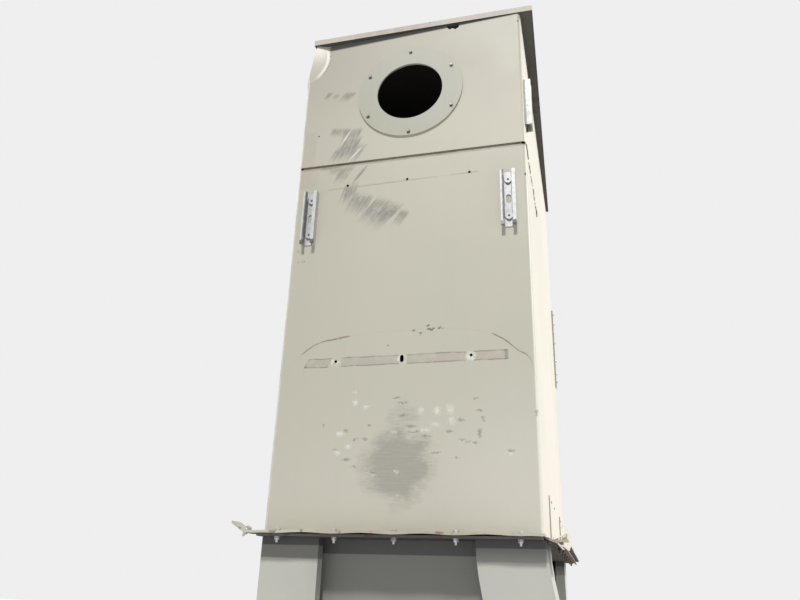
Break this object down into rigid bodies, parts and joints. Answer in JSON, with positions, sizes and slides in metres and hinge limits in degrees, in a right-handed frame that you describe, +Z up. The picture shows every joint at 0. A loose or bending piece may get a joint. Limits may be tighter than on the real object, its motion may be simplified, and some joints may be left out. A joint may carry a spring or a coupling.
{
  "type": "cabinet separator",
  "caption": "Tall square sheet steel cabinet separator with a round bolted inlet near its top, a knocked roof cap and a hopper between four folded legs.",
  "frame": {"origin": "on the floor, at the centre of the four anchor holes and of the housing's plan", "axes": "+Z up, -Y is the inlet side, +X is to the right when facing the inlet"},
  "size_m": [0.82, 1.35, 3.1687],
  "materials": {
    "cabinet_paint": "worn satin cream grey paint",
    "side_paint": "worn satin cream paint",
    "roof_paint": "worn satin cream paint",
    "roof_underside": "dull dark primer",
    "ring_paint": "worn satin cream grey paint",
    "rusty_flange": "chipped paint with rust at the edges",
    "stand_paint": "worn satin grey paint",
    "hopper_paint": "worn satin grey paint",
    "galvanised_channel": "dull galvanised steel"
  },
  "bodies": {
    "root": {"front_lower_panel": "cabinet_paint", "front_upper_panel": "cabinet_paint", "left_side_panel": "side_paint", "right_side_panel": "side_paint", "back_lower_panel": "cabinet_paint", "back_upper_panel": "cabinet_paint", "roof_cap": "roof_paint", "roof_soffit": "roof_underside", "inlet_ring": "ring_paint", "front_strut_left": "galvanised_channel", "front_strut_right": "galvanised_channel", "side_strut_left": "galvanised_channel", "side_strut_right": "galvanised_channel", "left_lap_plates": "side_paint", "right_lap_plates": "side_paint", "rear_edge_strip": "side_paint", "front_flange": "rusty_flange", "back_flange": "rusty_flange", "left_flange": "rusty_flange", "right_flange": "rusty_flange", "torn_corner_flap": "side_paint", "front_rail": "stand_paint", "back_rail": "stand_paint", "left_rail": "stand_paint", "right_rail": "stand_paint", "front_left_leg": "stand_paint", "front_right_leg": "stand_paint", "back_left_leg": "stand_paint", "back_right_leg": "stand_paint", "front_left_foot": "stand_paint", "front_right_foot": "stand_paint", "back_left_foot": "stand_paint", "back_right_foot": "stand_paint", "hopper_skirt_front": "hopper_paint", "hopper_skirt_back": "hopper_paint", "hopper_skirt_left": "hopper_paint", "hopper_skirt_right": "hopper_paint", "hopper_slope_front": "hopper_paint", "hopper_slope_back": "hopper_paint", "hopper_slope_left": "hopper_paint", "hopper_slope_right": "hopper_paint", "hopper_mouth_plate": "hopper_paint", "hopper_outlet_pipe": "hopper_paint", "hopper_outlet_flange": "rusty_flange"}
  },
  "joints": []
}
